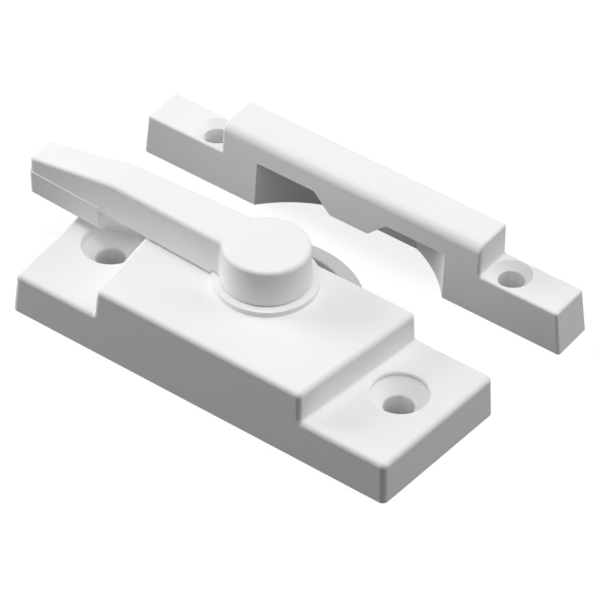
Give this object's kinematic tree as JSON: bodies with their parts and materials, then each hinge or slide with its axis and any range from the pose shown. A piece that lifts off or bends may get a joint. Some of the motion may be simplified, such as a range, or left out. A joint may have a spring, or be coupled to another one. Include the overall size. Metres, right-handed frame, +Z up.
{
  "type": "sliding window lock",
  "caption": "Cam lock for a sliding window: low housing with sunk screw holes, a swinging lever that turns a rimmed cam, and a separate keeper with a recess and hanging tongue.",
  "frame": {"origin": "on the mounting plane, midway between the axes of the lock's two screw holes", "axes": "+X along the lock, +Y from the lock's room side to the keeper, +Z up from the mounting plane"},
  "size_m": [0.0907, 0.0561, 0.0215],
  "materials": {
    "paint": "satin",
    "cam_coat": "satin",
    "steel": "satin"
  },
  "bodies": {
    "mounted": {"housing": "paint", "keeper": "paint"},
    "lever": {"lever": "paint", "cam": "cam_coat", "spring_washer": "steel", "retaining_washer": "steel"}
  },
  "joints": [
    {"name": "lever_turn", "type": "hinge", "parent": "mounted", "child": "lever", "pos_m": [0, 0.0037, 0], "axis": [0, 0, 1], "range_deg": [0, 180]}
  ]
}
